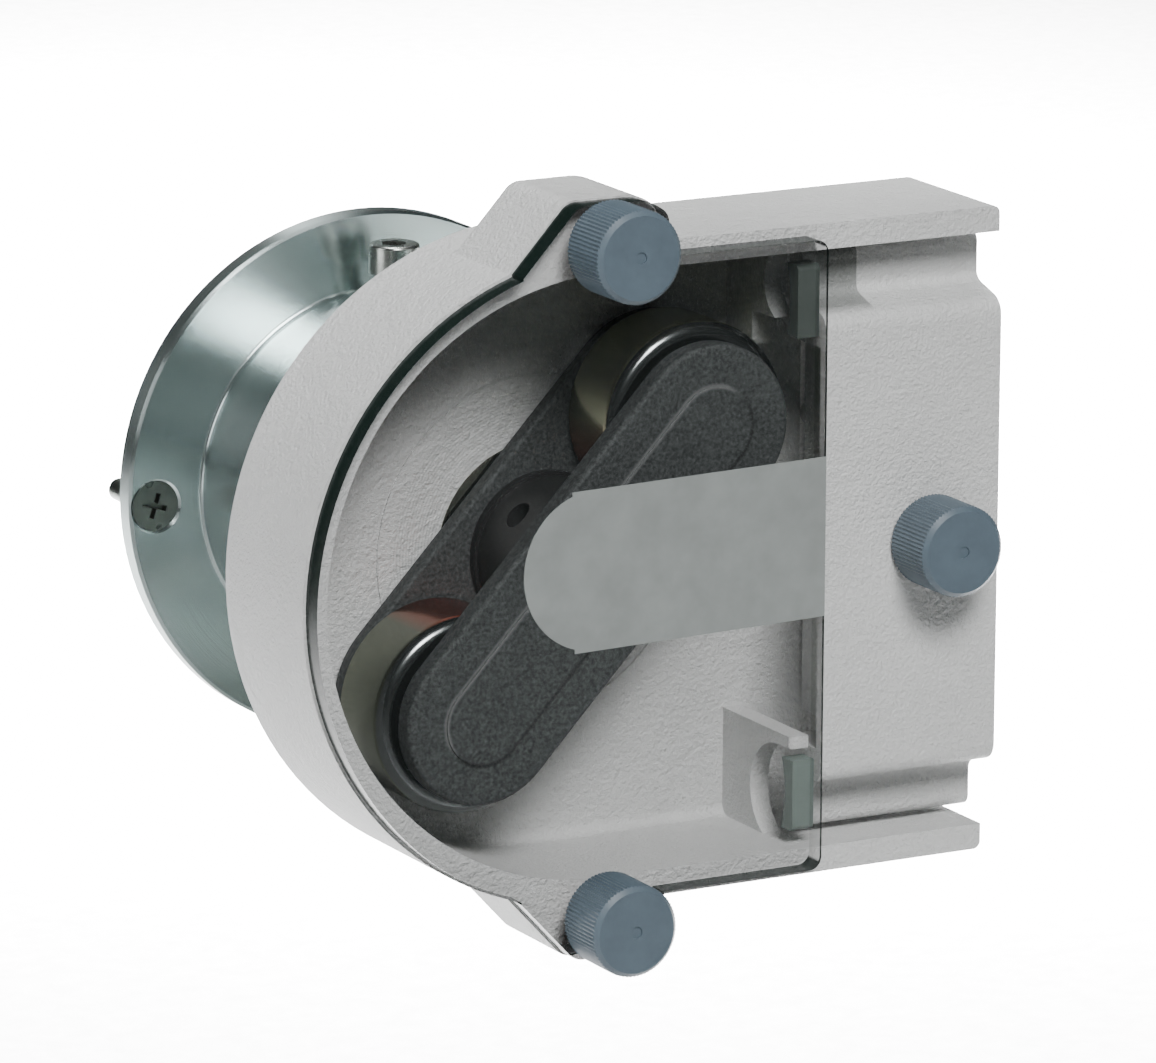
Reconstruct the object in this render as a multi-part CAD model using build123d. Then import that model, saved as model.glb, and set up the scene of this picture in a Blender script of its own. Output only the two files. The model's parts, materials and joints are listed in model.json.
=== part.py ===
from build123d import *
import os
from math import cos, pi, radians, sin, sqrt

os.makedirs("parts", exist_ok=True)

# Frame: millimetres, +Z up, the front of the pump faces -Y and the pump axis runs along Y.
# The origin is where that axis crosses the rear face of the adapter flange.

# ---------------------------------------------------------------- driving dimensions
# adapter (flange, neck, front flange)
flange_r = 45.0
flange_t = 4.3
flange_edge = 0.5
neck_r = 31.6
neck_foot_r = 0.8
reach = 54.5                      # flange front face to the back of the housing
front_flange_r = 40.0
front_flange_t = 6.0
socket_r = 25.0                   # bore that takes the drive's round boss
socket_depth = 15.4
spigot_r = 21.0
spigot_len = 2.5

# housing
track_r = 50.0
wall_t = 4.3
wall_r = track_r + wall_t
housing_depth = 28.3
back_t = 3.5
arm_end_x = 73.0
lower_arm_short = 1.8             # the lower arm ends this much before the upper one
arm_round = 1.3
pad_r = 42.0
pad_t = 6.0
scribe_r = 28.7
scribe_w = 0.5
scribe_deep = 0.25
rim_round = 0.5
floor_round = 2.0
ear_depth = 19.4
ear_foot_x = -17.6
ear_shoulder_x = -7.5
ear_top_z = wall_r + 8.0
ear_far_x = 5.5
ear_side_x = 9.3
ear_side_z = ear_top_z - 2.7
ear_round = 3.4
ear_far_round = 8.0
ear_side_round = 2.5
ear_back_round = 1.3

# tube guides cast in the two right-hand corners of the chamber
guide_x0 = 36.0
guide_x1 = 39.4
guide_inner_z = track_r - 18.4
guide_set_back = 2.4
guide_round = 0.8
lower_channel_z = track_r - 7.6
lower_channel_r = 8.8
lower_channel_bottom = 15.5       # depth of a channel's round bottom behind the front rim
upper_channel_z = track_r - 6.8
upper_channel_r = 6.5
upper_channel_bottom = 12.5
upper_lip_depth = 16.3
upper_lip_z = track_r - 12.6

# cover and its label
cover_t = 4.0
cover_r = wall_r - 0.5
cover_half_h = wall_r - 1.7
cover_right_x = 38.4
cover_corner_r = 2.2
cover_ear_inset = 0.3
cover_edge = 0.3
label_t = 0.15
label_r = 13.3
label_z = 2.3
label_left_x = -17.0
label_tilt = 1.2

# knobs
knob_r = 7.65
knob_len = 10.4
knob_teeth = 72
knob_groove = 0.22
knob_bevel = 0.85
knob_dimple_r = 1.0
knob_dimple = 0.25
knob_x = -2.0
knob_z = wall_r + 0.9
washer_r = 6.0
washer_t = 0.5
stud_r = 3.0
stud_in_knob = 6.0
cover_stud_reach = 14.0
tapped_spare = 3.0
stud_clearance = 0.3
thread_fit = 0.05

# clamp block between the arms
block_x0 = 40.0
block_gap = 1.2                   # block to each arm
block_proud = 1.0                 # face in front of the housing rim
block_face_z = track_r - 11.4
block_step_z = track_r - 9.0
strip_depth = 7.0                 # recessed strips behind the housing rim
strip_t = 4.0
block_back = 20.3
block_core_z = track_r - 17.5
block_travel = 1.2
block_knob_x = 60.0
face_round = 3.2
step_round = 2.0
strip_round = 1.8
end_round = 1.0
block_skin = 1.9                  # front skin that bridges the rotor's way
cavity_half_z = track_r - 16.4
cavity_round = 1.0
cavity_gap = 1.6                  # rollers to the block
guide_pin_r = 2.5
guide_pin_z = 17.0
guide_pin_len = 14.0
guide_pin_fit = 0.08
guide_pin_spare = 1.0
pocket_z0 = 22.0
pocket_z1 = 29.0
pocket_skin = 8.3
stud_boss_r = 8.0
stud_boss_len = 6.0
clip_r = 5.5
clip_t = 1.0
clip_gap = 0.2
clip_seat = 2.0                   # depth of the clip's counterbore behind the strips
clip_gap_w = 3.0

# jaws on the block's inner end
jaw_x0 = 36.0
jaw_front = 1.5
jaw_rear = 5.1
jaw_waist = 1.1
jaw_h = 12.0
jaw_z1 = track_r - 2.6
jaw_z0 = jaw_z1 - jaw_h
jaw_pin_r = 0.75
jaw_pin_z = (jaw_z0 + 1.2, jaw_z0 + 3.2)
jaw_pin_in = 2.0
jaw_pin_len = 6.0
jaw_round = 1.0

# rotor
rotor_angle = 46.6
roller_r = 16.5
tube_room = 3.2                   # rollers to the track: the two squeezed walls of the tube
roller_centre = track_r - tube_room - roller_r
roller_front = 6.9
roller_rear = 20.9
roller_lip = 2.1
roller_edge = 0.4
bush_r = 8.0
bush_t = 5.5
axle_r = 5.0
bush_fit = 0.05
axle_in_plate = 2.2
front_plate_face = 1.7
front_plate_t = 3.7
front_plate_r = 13.8
front_plate_edge = 0.9
panel_r = 7.0
panel_h = 0.35
rear_plate_face = 21.3
rear_plate_t = 2.8
rear_plate_r = 15.8
rear_plate_edge = 0.7
hub_collar_r = roller_centre - roller_r - 0.4
hub_r = hub_collar_r - 0.6
hub_collar_t = 1.6
hub_hole_depth = 12.6             # position of the radial hole behind the housing rim
hub_hole_r = 2.4
set_screw_r = 2.0
set_screw_len = 4.0
set_screw_key = 1.0
set_screw_key_depth = 1.6
centre_screw_r = 2.5
centre_head_r = 4.6
centre_head_h = 2.6
centre_screw_len = 14.0
centre_key_r = 1.6
centre_key_depth = 1.4

# shaft line
shaft_r = 7.5
shaft_nose_r = 6.0
shaft_tail_r = 6.0
shaft_nose_front = 6.4
shaft_nose_end = 25.4
seal_r = 17.5
seal_proud = 0.2
seal_lip_fit = 0.05
bearing_r = 17.5
bearing_bore = 7.5
bearing_w = 11.0
ring_t = 3.2
ball_r = 2.95
ball_count = 9
bearing_depth = 32.0              # front bearing behind the housing rim
spacer_len = 2.0
spacer_t = 2.0
shoulder_t = 2.5
shoulder_r = 13.0
clip_groove_gap = 0.2
shaft_clip_r = 9.6
shaft_clip_t = 1.0
coupling_front = bearing_depth + 27.0
coupling_len = 9.0
tail_end = coupling_front + coupling_len
coupling_r = 14.0
dog_w = 6.0
dog_len = 3.2
dog_inner_r = 6.6

# fasteners
csk_r = 4.7
csk_head_r = 4.2
csk_depth = 2.55
csk_sink = 0.35
csk_shank_r = 1.9
csk_len = 14.0
csk_circle_r = 40.2
csk_first_angle = 182.0
csk_relief = 0.5                  # the waist under the head ends this far behind the flange
csk_relief_r = 1.5
csk_count = 3
cross_w = 0.9
cross_l = 4.4
cross_depth = 1.5
cross_turn = 18.0
cap_head_r = 4.25
cap_head_h = 5.0
cap_shank_r = 2.5
cap_key_r = 2.3
cap_key_depth = 2.6
clamp_screw_y = -13.1
clamp_screw_top = 41.3
bolt_circle_r = 36.0
bolt_count = 4
bolt_first_angle = 45.0
bolt_tip_room = 0.5
bolt_grip = 7.5
hole_clearance = 0.25

# ---------------------------------------------------------------- planes along the axis
y_flange = -flange_t
y_back = y_flange - reach
y_front = y_back - housing_depth
y_floor = y_back - back_t
y_pad = y_back + pad_t
y_collar = y_pad + front_flange_t
y_cover = y_front - cover_t
cavity_x = roller_centre + roller_r + cavity_gap
guide_pin_x = cavity_x + guide_pin_r + wall_t * 0.4
pocket_x0 = cavity_x + wall_t


def at(depth):
    """Y of a plane that lies depth behind the housing's front rim."""
    return y_front + depth


def cyl(r, y0, y1, x=0.0, z=0.0):
    """Cylinder along Y."""
    return Pos(x, (y0 + y1) / 2, z) * Rot(90, 0, 0) * Cylinder(r, y1 - y0)


def tube(r, bore, y0, y1, x=0.0, z=0.0):
    return cyl(r, y0, y1, x, z) - cyl(bore, y0, y1, x, z)


def box(x0, x1, y0, y1, z0, z1):
    return Pos((x0 + x1) / 2, (y0 + y1) / 2, (z0 + z1) / 2) * Box(x1 - x0, y1 - y0, z1 - z0)


def along_y(sketch, y0, y1):
    """Extrudes an X-Z sketch from y0 to y1."""
    return extrude(Plane.XZ.offset(-y1) * sketch, amount=y1 - y0)


def cone(r0, r1, y0, y1, x=0.0, z=0.0):
    """Cone along Y with radius r0 at y0 and r1 at y1."""
    return Pos(x, (y0 + y1) / 2, z) * Rot(-90, 0, 0) * Cone(r0, r1, y1 - y0)


def flip(shape):
    return mirror(shape, about=Plane.XY)


def obround(r, half):
    """Obround sketch along the rotor's long axis."""
    return Rot(0, 0, rotor_angle) * SlotCenterToCenter(2 * half, 2 * r)


def ring_of(maker, radius, count, first):
    turns = [radians(first + i * 360.0 / count) for i in range(count)]
    return [maker(radius * cos(a), radius * sin(a), a) for a in turns]


def cap_screw(length):
    """Hex-socket cap screw along -Z with its head on the plane Z = 0."""
    head = Pos(0, 0, cap_head_h / 2) * Cylinder(cap_head_r, cap_head_h)
    head = fillet(head.edges().group_by(Axis.Z)[-1], end_round * 0.5)
    key = RegularPolygon(cap_key_r, 6)
    head -= Pos(0, 0, cap_head_h - cap_key_depth) * extrude(key, amount=cap_key_depth)
    return head + Pos(0, 0, -length / 2) * Cylinder(cap_shank_r, length)


parts = {}

# ---------------------------------------------------------------- adapter
disc = cyl(flange_r, y_flange, 0)
disc = chamfer(disc.edges().filter_by(GeomType.CIRCLE), flange_edge)
neck = cyl(neck_r, y_collar, y_flange)
front_flange = cyl(front_flange_r, y_pad, y_collar)
spigot = cyl(spigot_r, y_pad - spigot_len, y_pad)
adapter = disc + neck + front_flange + spigot
foot = [e for e in adapter.edges().filter_by(GeomType.CIRCLE)
        if abs(e.center().Y - y_flange) < 0.01 and abs(e.radius - neck_r) < 0.01]
adapter = fillet(foot, neck_foot_r)
bore_end = at(bearing_depth) + 2 * bearing_w + spacer_len
adapter -= cyl(bearing_r, y_pad - spigot_len, bore_end)
adapter -= cyl(shoulder_r, bore_end, bore_end + shoulder_t)
adapter -= cyl(socket_r, -socket_depth, 0)
adapter -= cyl(coupling_r + 2, bore_end + shoulder_t, -socket_depth)
for x, z, a in ring_of(lambda x, z, a: (x, z, a), csk_circle_r, csk_count, csk_first_angle):
    adapter -= cyl(csk_shank_r + hole_clearance, y_flange, 0, x, z)
    adapter -= cone(csk_r, csk_shank_r + hole_clearance, y_flange, y_flange + csk_depth, x, z)
for x, z, a in ring_of(lambda x, z, a: (x, z, a), bolt_circle_r, bolt_count, bolt_first_angle):
    adapter -= cyl(cap_shank_r + hole_clearance, y_pad, y_collar, x, z)
adapter -= Pos(0, clamp_screw_y, neck_r) * Cylinder(cap_shank_r, 2 * (neck_r - socket_r))
parts["adapter"] = adapter


def csk_screw(x, z, a):
    y0 = y_flange + csk_sink
    depth = csk_depth - csk_sink
    body = cone(csk_head_r, csk_shank_r, y0, y0 + depth, x, z)
    body += cyl(csk_relief_r, y0 + depth, csk_relief, x, z)
    body += cyl(csk_shank_r, csk_relief, y0 + csk_len, x, z)
    for turn in (0.0, 90.0):
        slot = Box(cross_l, 2 * cross_depth, cross_w)
        body -= Pos(x, y0, z) * Rot(0, turn + cross_turn, 0) * slot
    return body


parts["flange_screws"] = Compound(ring_of(csk_screw, csk_circle_r, csk_count, csk_first_angle))

head_seat = clamp_screw_top - cap_head_h
parts["clamp_screw"] = Pos(0, clamp_screw_y, head_seat) * cap_screw(head_seat - socket_r)


def rear_bolt(x, z, a):
    return Pos(x, y_collar, z) * Rot(-90, 0, 0) * cap_screw(front_flange_t + bolt_grip)


parts["adapter_bolts"] = Compound(ring_of(rear_bolt, bolt_circle_r, bolt_count, bolt_first_angle))

# ---------------------------------------------------------------- housing
half_disc = Circle(wall_r) & Pos(-wall_r, 0) * Rectangle(2 * wall_r, 2 * wall_r)
slab = Pos(arm_end_x / 2, 0) * Rectangle(arm_end_x, 2 * wall_r)
outline = half_disc + slab
half_hole = Circle(track_r) & Pos(-track_r, 0) * Rectangle(2 * track_r, 2 * track_r)
opening = half_hole + Pos(arm_end_x / 2 + end_round, 0) * Rectangle(arm_end_x + 2 * end_round, 2 * track_r)



def ear_outline(set_in=0.0):
    """Fixing ear above the track, its free sides moved in by set_in."""
    foot_z = sqrt(wall_r ** 2 - ear_foot_x ** 2)
    corners = [
        (ear_foot_x, foot_z), (ear_shoulder_x, ear_top_z), (ear_far_x, ear_top_z),
        (ear_side_x, ear_side_z), (ear_side_x, track_r + 1.0), (0, track_r + 1.0),
        (ear_foot_x + 1.0, track_r - 1.0),
    ]
    sketch = make_face(Polyline(*corners, close=True))
    if set_in:
        sketch = offset(sketch, -set_in, kind=Kind.INTERSECTION)
    high = sorted((v for v in sketch.vertices() if v.Y > ear_top_z - 1.0), key=lambda v: v.X)
    sketch = fillet(high[0], ear_round)
    far = [v for v in sketch.vertices() if v.Y > ear_top_z - 1.0]
    sketch = fillet(max(far, key=lambda v: v.X), ear_far_round)
    side = [v for v in sketch.vertices() if abs(v.Y - ear_side_z) < 1.0]
    return fillet(max(side, key=lambda v: v.X), ear_side_round)


ear = along_y(ear_outline(), y_front, at(ear_depth))
back_edges = [e for e in ear.edges()
              if abs(e.center().Y - at(ear_depth)) < 0.01 and e.center().Z > wall_r + 1.0]
ear = fillet(back_edges, ear_back_round)

shell = along_y(outline, y_front, y_back)
back_rim = [e for e in shell.edges() if abs(e.center().Y - y_back) < 0.01
            and abs(e.center().X - arm_end_x) > 1.0]
shell = fillet(back_rim, rim_round * 2)
shell -= box(arm_end_x - lower_arm_short, arm_end_x + 1, y_front, y_back, -wall_r, -track_r)
ends = [e for e in shell.edges().filter_by(Axis.Y)
        if e.center().X > arm_end_x - 2 * lower_arm_short and abs(e.center().Z) > wall_r - 0.1]
shell = fillet(ends, arm_round)
shell += ear
shell += flip(ear)
chamber = along_y(opening, y_front, y_floor)
floor_edge = [e for e in chamber.edges() if abs(e.center().Y - y_floor) < 0.01
              and e.center().X < arm_end_x - 1.0]
chamber = fillet(floor_edge, floor_round)
shell -= chamber
housing = shell + cyl(pad_r, y_back, y_pad)
housing += cyl(stud_boss_r, y_back, y_back + stud_boss_len, block_knob_x)


def tube_guide(channel_z, channel_r, bottom):
    """Cast guide in the lower corner, open to the front and to the arm for the tube."""
    body = box(guide_x0, guide_x1, at(guide_set_back), y_floor, -track_r, -guide_inner_z)
    corner = [e for e in body.edges().filter_by(Axis.Z)
              if abs(e.center().Y - at(guide_set_back)) < 0.01 and e.center().X < guide_x1 - 0.1]
    body = fillet(corner, guide_round)
    centre_y = at(bottom - channel_r)
    body -= (Pos((guide_x0 + guide_x1) / 2, centre_y, -channel_z)
             * Rot(0, 90, 0) * Cylinder(channel_r, 4 * wall_t))
    return body - box(guide_x0 - 1, guide_x1 + 1, y_front - 1, centre_y,
                      -track_r - 1, channel_r - channel_z)


housing += tube_guide(lower_channel_z, lower_channel_r, lower_channel_bottom)
housing += flip(tube_guide(upper_channel_z, upper_channel_r, upper_channel_bottom)) - box(
    guide_x0 - 1, guide_x1 + 1, y_front - 1, at(upper_lip_depth), guide_inner_z - 1, upper_lip_z)
housing -= cyl(seal_r, y_floor - 1, y_pad)
housing -= cyl(spigot_r, y_pad - spigot_len, y_pad)
housing -= tube(scribe_r + scribe_w / 2, scribe_r - scribe_w / 2, y_floor, y_floor + scribe_deep)
housing -= cyl(stud_r + thread_fit, y_floor - 1, y_back + stud_boss_len, block_knob_x)
for side in (1, -1):
    housing -= cyl(stud_r + thread_fit, y_front, at(ear_depth - tapped_spare), knob_x, side * knob_z)
    housing -= cyl(guide_pin_r, y_floor, y_back, guide_pin_x, side * guide_pin_z)
for x, z, a in ring_of(lambda x, z, a: (x, z, a), bolt_circle_r, bolt_count, bolt_first_angle):
    housing -= cyl(cap_shank_r, y_pad - bolt_grip - bolt_tip_room, y_pad, x, z)
parts["housing"] = housing
parts["guide_pins"] = Compound([
    cyl(guide_pin_r, y_back - back_t - guide_pin_len, y_back, guide_pin_x, side * guide_pin_z)
    for side in (1, -1)])

# ---------------------------------------------------------------- shaft line
y_fb = at(bearing_depth)
y_rb = y_fb + bearing_w + spacer_len
shaft_front = at(shaft_nose_end)
shaft = cyl(shaft_nose_r, at(shaft_nose_front), shaft_front)
shaft += cyl(shaft_r, shaft_front, y_rb + bearing_w + shaft_clip_t + 1.0)
shaft += cyl(shaft_tail_r, y_rb + bearing_w + shaft_clip_t + 1.0, at(tail_end))
clip_y = y_rb + bearing_w + clip_groove_gap
shaft -= tube(shaft_r + 1, shaft_r - 0.8, clip_y, clip_y + shaft_clip_t)
shaft -= cyl(centre_screw_r, at(shaft_nose_front), at(front_plate_face) + centre_screw_len + 1)
parts["drive_shaft"] = shaft
parts["shaft_clip"] = tube(shaft_clip_r, shaft_r - 0.8, clip_y, clip_y + shaft_clip_t) - box(
    -2.0, 2.0, clip_y - 1, clip_y + 2, -shaft_clip_r - 1, 0)

outer, inner, balls = [], [], []
for y0 in (y_fb, y_rb):
    mid = y0 + bearing_w / 2
    pitch = (bearing_r + bearing_bore) / 2
    race = Pos(0, mid, 0) * Rot(90, 0, 0) * Torus(pitch, ball_r + 0.05)
    outer.append(tube(bearing_r, bearing_r - ring_t, y0, y0 + bearing_w) - race)
    inner.append(tube(bearing_bore + ring_t, bearing_bore, y0, y0 + bearing_w) - race)
    balls += [Pos(pitch * cos(2 * pi * i / ball_count), mid, pitch * sin(2 * pi * i / ball_count))
              * Sphere(ball_r) for i in range(ball_count)]
parts["bearing_outer_rings"] = Compound(outer)
parts["bearing_inner_rings"] = Compound(inner)
parts["bearing_balls"] = Compound(balls)
parts["bearing_spacer"] = tube(bearing_r, bearing_r - spacer_t, y_fb + bearing_w, y_rb)
seal = tube(seal_r, shaft_r + seal_lip_fit, y_floor - seal_proud, y_back)
seal -= tube(seal_r - 1.6, shaft_r + 1.5, y_floor - seal_proud, y_floor + 0.8)
parts["shaft_seal"] = seal

hub_y = at(coupling_front)
coupling = cyl(coupling_r, hub_y, hub_y + coupling_len)
for x in (-1, 1):
    dog = box(dog_inner_r, coupling_r - 0.6, hub_y + coupling_len, hub_y + coupling_len + dog_len,
              -dog_w / 2, dog_w / 2)
    coupling += dog if x > 0 else Rot(0, 180, 0) * dog
coupling -= cyl(shaft_tail_r, hub_y, hub_y + coupling_len)
grub_y = hub_y + coupling_len / 2
coupling -= Pos(0, grub_y, coupling_r / 2 + 1) * Cylinder(set_screw_r, coupling_r)
parts["drive_coupling"] = coupling


def grub(length):
    """Hex-socket set screw along Z, its tip at Z = 0."""
    body = Pos(0, 0, length / 2) * Cylinder(set_screw_r, length)
    key = extrude(RegularPolygon(set_screw_key, 6), amount=set_screw_key_depth)
    return body - Pos(0, 0, length - set_screw_key_depth) * key


parts["coupling_set_screw"] = Pos(0, grub_y, shaft_tail_r) * grub(coupling_r - shaft_tail_r - 1.0)

# ---------------------------------------------------------------- rotor
fp0, fp1 = at(front_plate_face), at(front_plate_face) + front_plate_t
rp0, rp1 = at(rear_plate_face), at(rear_plate_face) + rear_plate_t
ends_xz = [(side * roller_centre * cos(radians(rotor_angle)),
            side * roller_centre * sin(radians(rotor_angle))) for side in (1, -1)]

front_plate = along_y(obround(front_plate_r, roller_centre), fp0, fp1)
front_edges = [e for e in front_plate.edges() if abs(e.center().Y - fp0) < 0.01]
front_plate = fillet(front_edges, front_plate_edge)
front_plate += along_y(obround(panel_r, roller_centre), fp0 - panel_h, fp0)
rear_plate = along_y(obround(rear_plate_r, roller_centre), rp0, rp1)
rear_edges = [e for e in rear_plate.edges() if abs(e.center().Y - rp0) < 0.01]
rear_plate = fillet(rear_edges, rear_plate_edge)
for x, z in ends_xz:
    front_plate -= cyl(axle_r, fp1 - axle_in_plate, fp1, x, z)
    rear_plate -= cyl(axle_r, rp0, rp0 + axle_in_plate, x, z)
head_cone = cone(centre_head_r, centre_screw_r, fp0 - panel_h, fp0 - panel_h + centre_head_h)
front_plate -= cyl(centre_screw_r, fp0 - panel_h, fp1) + head_cone
rear_plate -= cyl(shaft_nose_r, rp0, rp1)
hub = cyl(hub_r, fp1, rp0) + cyl(hub_collar_r, rp0 - hub_collar_t, rp0)
hub -= cyl(shaft_nose_r, fp1, rp0)

def radial(shape, depth):
    """Places a shape built along +Z so that it points out of the hub, square to the plates."""
    return Pos(0, at(depth), 0) * Rot(0, -rotor_angle, 0) * shape


hub -= radial(Pos(0, 0, hub_r / 2) * Cylinder(hub_hole_r, hub_r), hub_hole_depth)
parts["rotor_front_plate"] = front_plate
parts["rotor_rear_plate"] = rear_plate
parts["rotor_hub"] = hub
parts["rotor_set_screw"] = radial(
    Pos(0, 0, shaft_nose_r) * Cylinder(hub_hole_r, set_screw_len, align=(Align.CENTER, Align.CENTER, Align.MIN))
    - Pos(0, 0, shaft_nose_r + set_screw_len - 1.8) * extrude(RegularPolygon(1.3, 6), amount=1.8),
    hub_hole_depth)
centre = head_cone + cyl(centre_screw_r, fp0 - panel_h + centre_head_h, fp0 + centre_screw_len)
centre -= Pos(0, fp0 - panel_h + centre_key_depth, 0) * Rot(90, 0, 0) * extrude(
    RegularPolygon(centre_key_r, 6), amount=centre_key_depth)
parts["rotor_centre_screw"] = centre

ro0, ro1 = at(roller_front), at(roller_rear)
parts["roller_axles"] = Compound([
    cyl(axle_r, fp1 - axle_in_plate, rp0 + axle_in_plate, x, z) for x, z in ends_xz])
for name, (x, z) in zip(("upper", "lower"), ends_xz):
    roller = cyl(roller_r, ro0, ro1, x, z)
    roller = fillet([e for e in roller.edges() if abs(e.center().Y - ro0) < 0.01], roller_lip)
    roller = chamfer([e for e in roller.edges() if abs(e.center().Y - ro1) < 0.01], roller_edge)
    roller -= cyl(bush_r, ro0, ro1, x, z)
    parts["roller_" + name] = roller
    parts["roller_bushes_" + name] = Compound([
        tube(bush_r, axle_r + bush_fit, y0, y0 + bush_t, x, z)
        for y0 in (ro0, ro1 - bush_t)])

# ---------------------------------------------------------------- cover
cover_half = Circle(cover_r) & Pos(-cover_r, 0) * Rectangle(2 * cover_r, 2 * cover_r)
cover_slab = Pos(cover_right_x / 2, 0) * Rectangle(cover_right_x, 2 * cover_half_h)
cover_slab = fillet([v for v in cover_slab.vertices() if v.X > 1], cover_corner_r)
cover_ear = ear_outline(cover_ear_inset)
cover_sketch = cover_half + cover_slab + cover_ear + mirror(cover_ear, about=Plane.XZ)
cover = along_y(cover_sketch, y_cover, y_front)
for side in (1, -1):
    cover -= cyl(stud_r + stud_clearance, y_cover, y_front, knob_x, side * knob_z)
parts["cover"] = cover
label_sketch = Pos(label_left_x + label_r, label_z) * Circle(label_r)
label_sketch += Pos((label_left_x + label_r + cover_right_x) / 2, label_z) * Rectangle(
    cover_right_x - label_left_x - label_r + 2 * wall_t, 2 * label_r)
label_sketch = label_sketch.rotate(Axis((label_left_x, label_z, 0), (0, 0, 1)), label_tilt)
label_sketch &= Pos(cover_right_x - wall_r, 0) * Rectangle(2 * wall_r, 2 * wall_r)
parts["cover_label"] = along_y(label_sketch, y_cover - label_t, y_cover)
parts["cover_washers"] = Compound([
    tube(washer_r, stud_r + stud_clearance, y_cover - washer_t, y_cover, knob_x, side * knob_z)
    for side in (1, -1)])


def knob(x, z, y_base):
    """Knurled knob with a flat face, its base on y_base."""
    points = []
    for i in range(2 * knob_teeth):
        r = knob_r if i % 2 == 0 else knob_r - knob_groove
        a = pi * i / knob_teeth
        points.append((r * cos(a), r * sin(a)))
    star = make_face(Polyline(*points, close=True))
    body = along_y(Pos(x, z) * star, y_base - knob_len, y_base)
    blank = cyl(knob_r + 0.01, y_base - knob_len, y_base, x, z)
    blank = chamfer([e for e in blank.edges() if abs(e.center().Y - y_base + knob_len) < 0.01],
                    knob_bevel)
    body &= blank
    body -= cyl(stud_r, y_base - stud_in_knob, y_base, x, z)
    body -= cyl(knob_dimple_r, y_base - knob_len, y_base - knob_len + knob_dimple, x, z)
    return body


knob_base = y_cover - washer_t
for name, side in (("top", 1), ("bottom", -1)):
    parts[name + "_knob"] = knob(knob_x, side * knob_z, knob_base)
    parts[name + "_knob_stud"] = cyl(stud_r, knob_base - stud_in_knob, at(cover_stud_reach),
                                     knob_x, side * knob_z)

# ---------------------------------------------------------------- clamp block
face_y = y_front - block_proud
strip_y = at(strip_depth)
strip_back = strip_y + strip_t
block_z = track_r - block_gap
profile = [
    (face_y, 0), (face_y, block_face_z), (strip_y, block_step_z), (strip_y, block_z),
    (strip_back, block_z), (strip_back, block_core_z), (at(block_back), block_core_z),
    (at(block_back), 0),
]
half = Plane.YZ * make_face(Polyline(*profile, close=True))
block = extrude(half, amount=arm_end_x - block_x0)


def near(e, y, z):
    c = e.center()
    return abs(c.Y - y) < 0.05 and abs(abs(c.Z) - z) < 0.05


for y, z, r in ((face_y, block_face_z, face_round), (strip_y, block_step_z, step_round),
                (strip_y, block_z, strip_round)):
    block = fillet([e for e in block.edges().filter_by(Axis.X) if near(e, y, z)], r)
block = Pos(block_x0, 0, 0) * (block + flip(block))

cavity = Pos((block_x0 + cavity_x) / 2, 0) * Rectangle(cavity_x - block_x0, 2 * cavity_half_z)
cavity = fillet([v for v in cavity.vertices() if v.X > cavity_x - 1], cavity_round)
cavity += Pos(block_x0 - 1, 0) * Rectangle(2 * end_round, 2 * cavity_half_z)
block -= along_y(cavity, face_y + block_skin, at(block_back) + 1)
pocket = box(pocket_x0, arm_end_x - wall_t, face_y + pocket_skin, at(block_back), pocket_z0, pocket_z1)
block -= pocket
block -= flip(pocket)
block -= cyl(stud_r + stud_clearance, face_y, at(block_back), block_knob_x)
block -= cyl(clip_r + 1.0, strip_back + clip_seat, at(block_back), block_knob_x)
for side in (1, -1):
    block -= cyl(guide_pin_r + guide_pin_fit, y_floor - guide_pin_len - guide_pin_spare,
                 at(block_back), guide_pin_x, side * guide_pin_z)
    for z in jaw_pin_z:
        block -= (Pos(block_x0, at((jaw_front + jaw_rear) / 2), side * z) * Rot(0, 90, 0)
                  * Cylinder(jaw_pin_r, 2 * (jaw_pin_len - jaw_pin_in)))
parts["clamp_block"] = block

waist_z = (jaw_z0 + jaw_z1) / 2
half_jaw = (jaw_z1 - jaw_z0) / 2
waist_r = (half_jaw ** 2 + jaw_waist ** 2) / (2 * jaw_waist)
jaw = box(jaw_x0, block_x0, at(jaw_front), at(jaw_rear), jaw_z0, jaw_z1)
jaw = fillet([e for e in jaw.edges().filter_by(Axis.X)
              if abs(e.center().Y - at(jaw_front)) < 0.01 and e.center().Z > waist_z], jaw_round)
jaw -= (Pos((jaw_x0 + block_x0) / 2, at(jaw_rear - jaw_waist) + waist_r, waist_z)
        * Rot(0, 90, 0) * Cylinder(waist_r, 2 * (block_x0 - jaw_x0)))
for z in jaw_pin_z:
    jaw -= (Pos(block_x0, at((jaw_front + jaw_rear) / 2), z) * Rot(0, 90, 0)
            * Cylinder(jaw_pin_r, 2 * jaw_pin_in))
parts["jaw_upper"] = jaw
parts["jaw_lower"] = flip(jaw)
parts["jaw_pins"] = Compound([
    Pos(block_x0 + jaw_pin_len / 2 - jaw_pin_in, at((jaw_front + jaw_rear) / 2), side * z)
    * Rot(0, 90, 0) * Cylinder(jaw_pin_r, jaw_pin_len)
    for side in (1, -1) for z in jaw_pin_z])

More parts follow.
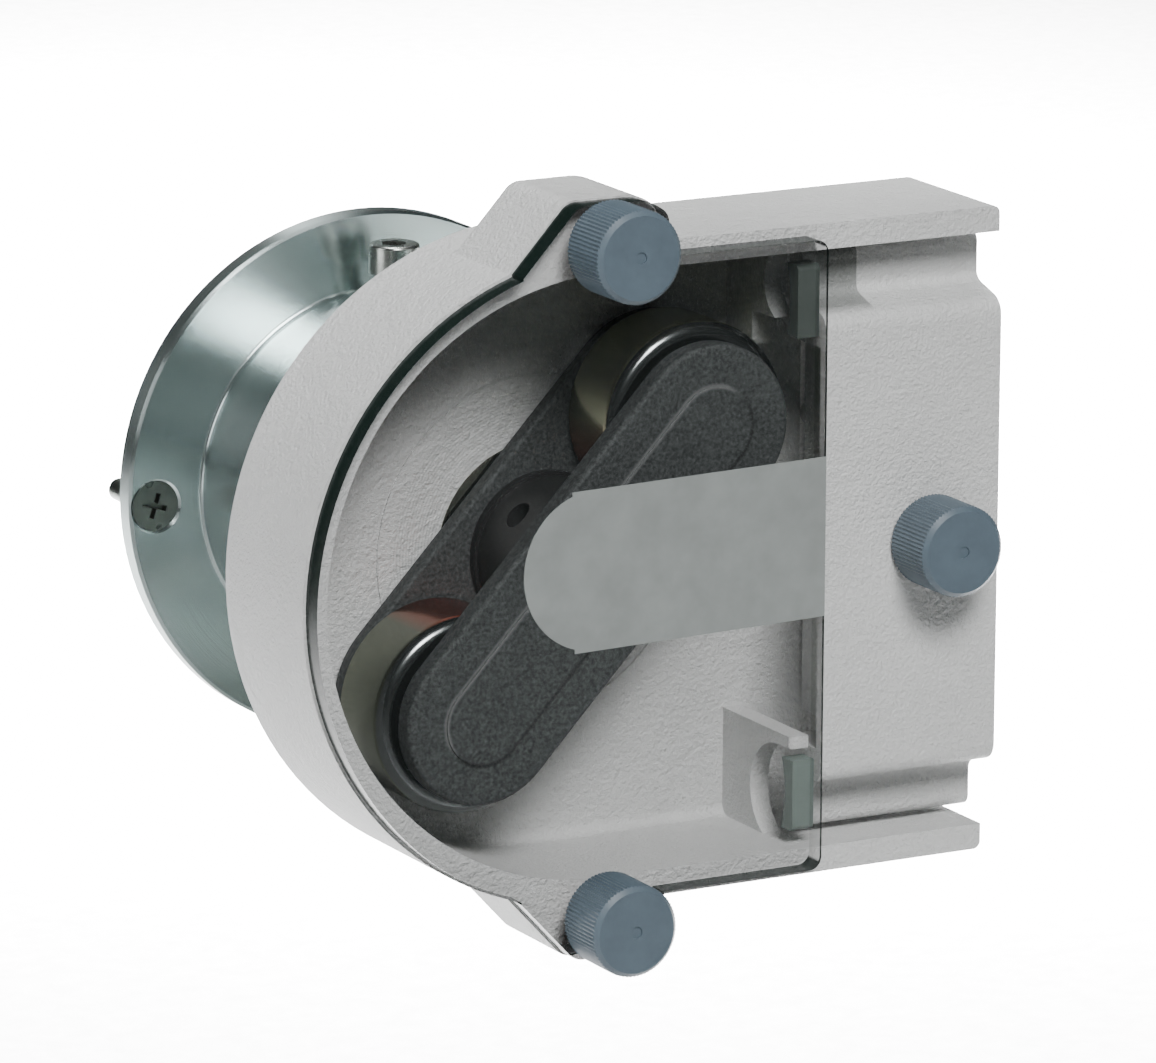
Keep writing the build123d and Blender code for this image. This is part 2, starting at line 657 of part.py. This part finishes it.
parts["block_washer"] = tube(washer_r, stud_r + stud_clearance, face_y - washer_t, face_y, block_knob_x)
parts["block_knob"] = knob(block_knob_x, 0, face_y - washer_t)
clip0 = strip_back + clip_seat + clip_gap
block_stud = cyl(stud_r, face_y - washer_t - stud_in_knob, y_back + stud_boss_len - guide_pin_spare,
                 block_knob_x)
block_stud -= tube(stud_r + 1, stud_r - 0.5, clip0, clip0 + clip_t, block_knob_x)
parts["block_knob_stud"] = block_stud
parts["block_clip"] = tube(clip_r, stud_r - 0.5, clip0, clip0 + clip_t, block_knob_x) - box(
    block_knob_x - clip_gap_w / 2, block_knob_x + clip_gap_w / 2, clip0 - 1, clip0 + 2,
    -clip_r - 1, 0)

# ---------------------------------------------------------------- write the pieces
for name, shape in parts.items():
    export_step(shape, "parts/" + name + ".step")
    print(name, len(shape.solids()), [round(v, 2) for v in shape.bounding_box().size])
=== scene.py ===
import json
from math import cos, pi, radians, sin

import bpy
from mathutils import Matrix, Vector


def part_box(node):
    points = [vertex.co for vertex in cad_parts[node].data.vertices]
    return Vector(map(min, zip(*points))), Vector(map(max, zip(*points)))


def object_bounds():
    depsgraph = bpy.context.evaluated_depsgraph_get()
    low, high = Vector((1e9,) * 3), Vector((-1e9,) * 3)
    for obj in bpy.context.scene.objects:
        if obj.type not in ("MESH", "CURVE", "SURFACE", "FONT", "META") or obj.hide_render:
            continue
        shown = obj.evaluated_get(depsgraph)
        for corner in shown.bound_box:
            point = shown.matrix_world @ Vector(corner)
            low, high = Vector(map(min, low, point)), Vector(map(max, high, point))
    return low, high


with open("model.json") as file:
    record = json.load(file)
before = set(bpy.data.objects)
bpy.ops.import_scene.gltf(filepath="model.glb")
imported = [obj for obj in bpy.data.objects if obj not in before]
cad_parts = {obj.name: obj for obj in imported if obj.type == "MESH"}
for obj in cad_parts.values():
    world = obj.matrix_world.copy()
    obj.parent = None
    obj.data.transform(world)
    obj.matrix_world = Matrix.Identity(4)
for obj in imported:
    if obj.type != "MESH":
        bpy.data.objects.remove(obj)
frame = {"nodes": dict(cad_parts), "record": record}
cad_low, cad_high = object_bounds()

MM = 0.001
RIM_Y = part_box("housing")[0][1]
AXIS_POINT = Vector((0.0, RIM_Y, 0.0))      # where the pump axis crosses the front rim

# The chamber: paint inside these limits gets painted shade towards its top, and tool marks.
CHAMBER_R = 50.5 * MM
CHAMBER_BACK = RIM_Y + 26.0 * MM
BLOCK_RECESS_X = 50.0 * MM
CHAMBER_EDGE = 0.2 * MM
# Painted shade: the paint darkens towards the top of the chamber, under the rim.
SHADE_FROM = 12.0 * MM
SHADE_FULL = 36.0 * MM
SHADE_SLOPE = 0.30
SHADE_AMOUNT = 0.62
SHADE_COLOUR = (0.045, 0.055, 0.048)

# Tool marks round the bore in the chamber floor.
GROOVE_PITCH = 0.55 * MM
GROOVE_OUTER_R = 25.0 * MM
GROOVE_COLOUR = (0.22, 0.23, 0.22)

# Camera: where it stands round the pump, how far away and how the picture is framed.
YAW = 28.71
PITCH = 13.88
ROLL = 0.33
DISTANCE = 1.347
LENS = 261.3
SHIFT = (-0.0236, 0.0400)


# ------------------------------------------------------------------ material helpers
class Maker:
    """Builds one node material."""

    def __init__(self, name):
        self.material = bpy.data.materials.new(name)
        self.material.use_nodes = True
        self.nodes = self.material.node_tree.nodes
        self.links = self.material.node_tree.links
        self.shader = self.nodes["Principled BSDF"]

    def add(self, kind, **values):
        node = self.nodes.new(kind)
        for key, value in values.items():
            setattr(node, key, value)
        return node

    def link(self, source, target):
        self.links.new(source, target)

    def put(self, **values):
        for key, value in values.items():
            socket = self.shader.inputs[key.replace("_", " ")]
            if key in ("Base_Color", "Specular_Tint", "Coat_Tint"):
                value = (*value, 1.0)
            socket.default_value = value

    def coordinates(self):
        return self.add("ShaderNodeTexCoord").outputs["Object"]

    def math(self, operation, a, b=None, clamp=False):
        node = self.add("ShaderNodeMath", operation=operation, use_clamp=clamp)
        for socket, value in zip(node.inputs, (a, b)):
            if value is None:
                continue
            if isinstance(value, (int, float)):
                socket.default_value = value
            else:
                self.link(value, socket)
        return node.outputs[0]

    def noise(self, scale, detail=2.0, roughness=0.5, vector=None):
        node = self.add("ShaderNodeTexNoise")
        node.inputs["Scale"].default_value = scale
        node.inputs["Detail"].default_value = detail
        node.inputs["Roughness"].default_value = roughness
        self.link(vector or self.coordinates(), node.inputs["Vector"])
        return node.outputs["Fac"]

    def ramp(self, value, low, high):
        """0 where value is at or under low, 1 where it is at or over high."""
        node = self.add("ShaderNodeMapRange")
        node.clamp = True
        node.inputs["From Min"].default_value = low
        node.inputs["From Max"].default_value = high
        self.link(value, node.inputs["Value"])
        return node.outputs["Result"]

    def mix(self, factor, a, b):
        node = self.add("ShaderNodeMix", data_type="RGBA")
        self.link(factor, node.inputs[0])
        node.inputs[6].default_value = (*a, 1.0)
        node.inputs[7].default_value = (*b, 1.0)
        return node.outputs[2]

    def over(self, base, colour, factor):
        """A colour laid over what is there, as much as the factor says."""
        node = self.add("ShaderNodeMix", data_type="RGBA")
        self.link(factor, node.inputs[0])
        self.link(base, node.inputs[6])
        node.inputs[7].default_value = (*colour, 1.0)
        return node.outputs[2]

    def between(self, factor, low, high):
        """low where the factor is 0, high where it is 1."""
        node = self.add("ShaderNodeMapRange")
        node.inputs["To Min"].default_value = low
        node.inputs["To Max"].default_value = high
        self.link(factor, node.inputs["Value"])
        return node.outputs["Result"]

    def turning(self, scale):
        """Coordinates that change with the distance from the pump axis and along it only."""
        join = self.add("ShaderNodeCombineXYZ")
        self.link(self.math("MULTIPLY", self.radius(), scale), join.inputs[0])
        self.link(self.math("MULTIPLY", self.axes()[1], scale), join.inputs[1])
        return join.outputs[0]

    def bump(self, height, strength, distance, after=None):
        node = self.add("ShaderNodeBump")
        node.inputs["Strength"].default_value = strength
        node.inputs["Distance"].default_value = distance
        self.link(height, node.inputs["Height"])
        if after is not None:
            self.link(after, node.inputs["Normal"])
        self.link(node.outputs["Normal"], self.shader.inputs["Normal"])
        return node.outputs["Normal"]

    def axes(self):
        split = self.add("ShaderNodeSeparateXYZ")
        self.link(self.coordinates(), split.inputs[0])
        return tuple(split.outputs)

    def radius(self):
        """Distance from the pump axis, in metres."""
        x, _, z = self.axes()
        squares = self.math("ADD", self.math("MULTIPLY", x, x), self.math("MULTIPLY", z, z))
        return self.math("SQRT", squares)


def paint(name, colour, peel=0.8):
    """Grey enamel: fine orange peel, faint cloudiness, tool marks round the bore in the chamber floor.
    The upper chamber gets painted shade in the colour itself, as the lights alone leave it too pale."""
    m = Maker(name)
    m.put(Roughness=0.42, Specular_IOR_Level=0.4)
    cloud = m.ramp(m.noise(28.0, 3.0, 0.6), 0.35, 0.70)
    grain = m.noise(1300.0, 2.0, 0.6)
    tone = m.math("ADD", m.math("MULTIPLY", cloud, 0.5), m.math("MULTIPLY", grain, 0.5), clamp=True)
    clean = m.mix(tone, tuple(0.90 * c for c in colour), tuple(min(1.0, 1.07 * c) for c in colour))

    x, y, z = m.axes()
    radius = m.radius()
    left_of_axis = m.math("LESS_THAN", x, 0.0)
    reach = m.math("MAXIMUM", m.math("ABSOLUTE", z), m.math("MULTIPLY", radius, left_of_axis))
    inside = m.ramp(y, RIM_Y + 0.5 * MM, RIM_Y + 3.0 * MM)
    for value, limit in ((reach, CHAMBER_R), (y, CHAMBER_BACK), (x, BLOCK_RECESS_X)):
        inside = m.math("MULTIPLY", inside, m.ramp(value, limit + CHAMBER_EDGE, limit))
    # painted shade, darker towards the top of the chamber
    height = m.math("ADD", z, m.math("MULTIPLY", x, SHADE_SLOPE))
    shade = m.math("MULTIPLY", inside, m.ramp(height, SHADE_FROM, SHADE_FULL))
    shaded = m.over(clean, SHADE_COLOUR, m.math("MULTIPLY", shade, SHADE_AMOUNT))

    rings = m.math("SINE", m.math("MULTIPLY", radius, 2.0 * pi / GROOVE_PITCH))
    past = m.ramp(radius, GROOVE_OUTER_R, GROOVE_OUTER_R + 1.5 * MM)
    turned = m.math("MULTIPLY", inside, m.math("SUBTRACT", 1.0, past))
    groove = m.math("MULTIPLY", turned, m.ramp(rings, 0.2, 1.0))
    marked = m.over(shaded, GROOVE_COLOUR, m.math("MULTIPLY", groove, 0.4))
    m.link(marked, m.shader.inputs["Base Color"])

    coarse = m.bump(m.noise(420.0, 2.0, 0.5), 0.35 * peel, 0.0011)
    m.bump(m.noise(1500.0, 2.0, 0.6), peel, 0.0006, after=coarse)
    return m.material


def turned_metal(name, colour, roughness, anisotropy):
    """Metal faced and turned on a lathe: light runs across the tool marks in a bow tie. The lower
    half is darkened in the colour, a painted dark reflection, because the lit floor makes its
    reflection too bright."""
    m = Maker(name)
    m.put(Metallic=1.0, Roughness=roughness, Anisotropic=anisotropy, Anisotropic_Rotation=0.25)
    tangent = m.add("ShaderNodeTangent", direction_type="RADIAL", axis="Y")
    m.link(tangent.outputs[0], m.shader.inputs["Tangent"])
    rings = m.noise(1.0, 2.0, 0.6, vector=m.turning(2600.0))
    dark = tuple(0.88 * c for c in colour)
    # painted dark reflection on the lower half
    painted_dark_reflection = m.between(m.ramp(m.axes()[2], 0.0, -34.0 * MM), 0.0, 0.88)
    shaded = m.over(m.mix(m.ramp(rings, 0.25, 0.75), dark, colour), (0.035, 0.05, 0.045), painted_dark_reflection)
    m.link(shaded, m.shader.inputs["Base Color"])
    m.bump(rings, 0.12, 0.0001)
    return m.material


def metal(name, colour, roughness, grain=0.0):
    """Plain metal with a cloudy handled surface."""
    m = Maker(name)
    m.put(Metallic=1.0)
    wear_and_painted_highlight = m.ramp(m.noise(140.0, 3.0, 0.6), 0.35, 0.65)
    m.link(m.mix(wear_and_painted_highlight, tuple(0.80 * c for c in colour), colour), m.shader.inputs["Base Color"])
    m.link(m.between(wear_and_painted_highlight, roughness * 1.3, roughness * 0.85), m.shader.inputs["Roughness"])
    if grain:
        m.bump(m.noise(1500.0), grain, 0.0001)
    return m.material


def roller_steel(name, node, red_reflection_dir, dark, light):
    """Ground roller: dull mirror with an olive tint painted in as reflection, a darker front lip and a
    painted red reflection where the given direction points from the roller's axis."""
    low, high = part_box(node)
    centre = [(a + b) / 2 for a, b in zip(low, high)]
    m = Maker(name)
    m.put(Metallic=1.0, Roughness=0.2)
    x, y, z = m.axes()
    plain = m.mix(m.noise(35.0, 2.0, 0.5), dark, light)
    side = m.math("ADD", m.math("MULTIPLY", m.math("SUBTRACT", x, centre[0]), red_reflection_dir[0]),
                  m.math("MULTIPLY", m.math("SUBTRACT", z, centre[2]), red_reflection_dir[1]))
    # painted red reflection on the side the given direction points to
    red_reflection_mask = m.math("MULTIPLY", m.ramp(side, 12.5 * MM, 16.4 * MM), 0.9)
    with_red_reflection = m.over(plain, (0.50, 0.07, 0.03), red_reflection_mask)
    front = m.math("SUBTRACT", 1.0, m.ramp(y, low[1] + 1.2 * MM, low[1] + 1.5 * MM))
    m.link(m.over(with_red_reflection, (0.16, 0.17, 0.17), front), m.shader.inputs["Base Color"])
    m.bump(m.noise(900.0), 0.03, 0.0001)
    return m.material


def plastic(name, colour, roughness=0.5, grain=0.0, scale=1200.0):
    """Moulded plastic or rubber with a slight mottle."""
    m = Maker(name)
    m.put(Roughness=roughness)
    mottle = m.ramp(m.noise(160.0, 3.0, 0.6), 0.3, 0.7)
    light = tuple(min(1.0, 1.08 * c) for c in colour)
    m.link(m.mix(mottle, tuple(0.92 * c for c in colour), light), m.shader.inputs["Base Color"])
    if grain:
        m.bump(m.noise(scale, 2.0, 0.6), grain, 0.0002)
    return m.material


def sandy(name, dark, light, outline_r=None):
    """Anthracite casting with a fine sandy grain. The raised panel's outline, outline_r from the line
    between the roller axes, gets a painted highlight along its upper side and painted shade along its
    lower one."""
    m = Maker(name)
    m.put(Roughness=0.62, Specular_IOR_Level=0.3)
    grain = m.noise(1700.0, 3.0, 0.8)
    blotch = m.noise(120.0, 3.0, 0.6)
    tone = m.math("ADD", m.math("MULTIPLY", m.ramp(grain, 0.38, 0.66), 0.8),
                  m.math("MULTIPLY", blotch, 0.2), clamp=True)
    colour = m.mix(tone, dark, light)
    if outline_r:
        rollers = ("roller_upper", "roller_lower")
        ends = [tuple((a + b) / 2 for a, b in zip(*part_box(node))) for node in rollers]
        span = Vector((ends[0][0] - ends[1][0], ends[0][2] - ends[1][2]))
        half, along = span.length / 2, span.normalized()
        x, _, z = m.axes()
        t = m.math("ADD", m.math("MULTIPLY", x, along[0]), m.math("MULTIPLY", z, along[1]))
        side = m.math("SUBTRACT", m.math("MULTIPLY", z, along[0]), m.math("MULTIPLY", x, along[1]))
        past = m.math("MAXIMUM", m.math("SUBTRACT", m.math("ABSOLUTE", t), half), 0.0)
        squares = m.math("ADD", m.math("MULTIPLY", past, past), m.math("MULTIPLY", side, side))
        away = m.math("SQRT", squares)
        off = m.math("ABSOLUTE", m.math("SUBTRACT", away, outline_r))
        line = m.math("SUBTRACT", 1.0, m.ramp(off, 0.15 * MM, 0.55 * MM))
        # painted highlight on the outline's upper side, painted shade on its lower side
        wear_and_painted_highlight, painted_edge_shade = (0.135, 0.14, 0.14), (0.004, 0.004, 0.004)
        for reach, shade in ((3.0 * MM, wear_and_painted_highlight), (-3.0 * MM, painted_edge_shade)):
            mask = m.math("MULTIPLY", line, m.ramp(side, 0.0, reach))
            colour = m.over(colour, shade, m.math("MULTIPLY", mask, 0.75))
    m.link(colour, m.shader.inputs["Base Color"])
    m.bump(grain, 0.55, 0.0003)
    return m.material


def acrylic(name):
    """Clear sheet: the faces hardly show, the edges carry acrylic's green tint made near black as
    painted shade, and the right-hand edge lets most light through behind a thin dark front corner."""
    m = Maker(name)
    low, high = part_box("cover")
    m.put(Roughness=0.2, Specular_IOR_Level=0.2)
    split = m.add("ShaderNodeSeparateXYZ")
    m.link(m.add("ShaderNodeTexCoord").outputs["Normal"], split.inputs[0])
    face = m.ramp(m.math("ABSOLUTE", split.outputs[1]), 0.5, 0.9)
    # edge colour: acrylic's green tint, darkened to near black as painted shade
    m.link(m.mix(face, (0.004, 0.010, 0.008), (0.06, 0.07, 0.07)), m.shader.inputs["Base Color"])
    x, y, _ = m.axes()
    right = m.math("MULTIPLY", m.ramp(x, high[0] - 0.3 * MM, high[0] - 0.1 * MM),
                   m.ramp(y, low[1] + 0.4 * MM, low[1] + 0.6 * MM))
    edge = m.math("SUBTRACT", 0.97, m.math("MULTIPLY", right, 0.75))
    m.link(m.math("ADD", m.math("MULTIPLY", m.math("SUBTRACT", 1.0, face), edge),
                  m.math("MULTIPLY", face, 0.06)), m.shader.inputs["Alpha"])
    return m.material


GREY = (0.56, 0.565, 0.56)
ANTHRACITE = ((0.010, 0.012, 0.012), (0.072, 0.078, 0.078))
MATERIALS = {
    "painted_grey": paint("painted_grey", GREY),
    "turned_aluminium": turned_metal("turned_aluminium", (0.52, 0.60, 0.595), 0.24, 0.88),
    "screw_steel": metal("screw_steel", (0.34, 0.36, 0.34), 0.25, 0.15),
    "ground_steel": metal("ground_steel", (0.55, 0.55, 0.54), 0.28),
    "bright_steel": metal("bright_steel", (0.30, 0.31, 0.26), 0.2),
    "black_steel": plastic("black_steel", (0.02, 0.02, 0.02), 0.35),
    "anthracite": sandy("anthracite", *ANTHRACITE),
    "black_hub": plastic("black_hub", (0.010, 0.010, 0.010), 0.4, 0.2),
    "bronze": metal("bronze", (0.45, 0.30, 0.13), 0.45),
    "clear_acrylic": acrylic("clear_acrylic"),
    "label_grey": plastic("label_grey", (0.215, 0.232, 0.226), 0.6),
    "knob_plastic": plastic("knob_plastic", (0.082, 0.112, 0.138), 0.42, 0.15),
    "jaw_grey": plastic("jaw_grey", (0.14, 0.175, 0.16), 0.45, 0.15),
    "nylon": plastic("nylon", (0.20, 0.035, 0.030), 0.4),
}

OWN = {
    # The rollers are one steel: the upper gets a lighter copy and the lower a darker copy, painted
    # light and shade.
    "roller_upper": roller_steel("upper_roller_steel", "roller_upper", (-0.80, -0.60),
                                 (0.36, 0.37, 0.22), (0.60, 0.60, 0.44)),
    "roller_lower": roller_steel("lower_roller_steel", "roller_lower", (0.17, 0.98),
                                 (0.085, 0.10, 0.065), (0.20, 0.21, 0.165)),
    "rotor_front_plate": sandy("anthracite_panel", *ANTHRACITE, outline_r=7.0 * MM),
    "flange_screws": metal("plated_screw", (0.17, 0.19, 0.17), 0.28, 0.15),
    # The upper jaw is a darker copy of jaw grey: painted shade under the top of the chamber.
    "jaw_upper": plastic("jaw_grey_painted_shade", (0.050, 0.062, 0.056), 0.45, 0.15),
}
SLOTS = {part["node"]: part["material_slot"] for part in frame["record"]["subparts"]}
for node, obj in frame["nodes"].items():
    obj.data.materials.clear()
    obj.data.materials.append(OWN.get(node) or MATERIALS[SLOTS[node]])


# ------------------------------------------------------------------ stage, lights, camera
def floor():
    drop = 0.14
    bpy.ops.mesh.primitive_plane_add(size=14.0, location=(0, 0, cad_low[2] - drop))
    plane = bpy.context.object
    plane.name = "floor"
    plane.data.materials.append(plastic("floor_white", (0.92, 0.92, 0.92), 0.9))


def area_light(name, place, size, power, aim=AXIS_POINT, colour=(1, 1, 1), spread=180.0):
    data = bpy.data.lights.new(name, "AREA")
    data.shape = "RECTANGLE"
    data.size, data.size_y = size
    data.spread = radians(spread)
    data.energy = power
    data.color = colour
    lamp = bpy.data.objects.new(name, data)
    bpy.context.collection.objects.link(lamp)
    lamp.location = Vector(place)
    lamp.rotation_euler = (aim - lamp.location).to_track_quat("-Z", "Y").to_euler()


def camera():
    yaw, pitch, roll = (radians(v) for v in (YAW, PITCH, ROLL))
    right = Vector((cos(yaw), -sin(yaw), 0.0))
    look = Vector((sin(yaw) * cos(pitch), cos(yaw) * cos(pitch), -sin(pitch)))
    up = right.cross(look)
    turned_right = cos(roll) * right + sin(roll) * up
    turned_up = -sin(roll) * right + cos(roll) * up
    data = bpy.data.cameras.new("camera")
    data.lens = LENS
    data.sensor_width = 36.0
    data.clip_end = 30.0
    data.shift_x, data.shift_y = SHIFT
    eye = bpy.data.objects.new("camera", data)
    bpy.context.collection.objects.link(eye)
    spot = AXIS_POINT - look * DISTANCE
    eye.matrix_world = Matrix.Translation(spot) @ Matrix(
        (turned_right, turned_up, -look)).transposed().to_4x4()
    bpy.context.scene.camera = eye


def lights():
    world = bpy.data.worlds.new("studio")
    bpy.context.scene.world = world
    world.use_nodes = True
    background = world.node_tree.nodes["Background"]
    background.inputs["Color"].default_value = (0.93, 1.0, 0.98, 1.0)
    background.inputs["Strength"].default_value = 0.085
    area_light("key", (-0.20, -1.04, 0.88), (0.5, 0.42), 2.0, spread=45.0)
    area_light("left", (-1.10, 0.02, 0.42), (0.6, 0.5), 5.5)
    area_light("low_left", (-0.95, 0.02, -0.12), (0.5, 0.2), 1.1)
    beyond = Vector((0.46, 0.84, -1.0))
    area_light("floor_wash", (0.46, 0.84, 0.90), (0.9, 1.2), 112.0, aim=beyond, spread=60.0)


def clear_of_rim(obj, gap=0.06 * MM):
    """The sheet lies on the rim face to face, so it is drawn a hair in front of it."""
    lift = obj.modifiers.new("lift", "DISPLACE")
    lift.direction = "Y"
    lift.mid_level = 0.0
    lift.strength = -gap


clear_of_rim(frame["nodes"]["cover"])
frame["nodes"]["cover_label"].visible_shadow = False
floor()
lights()
camera()
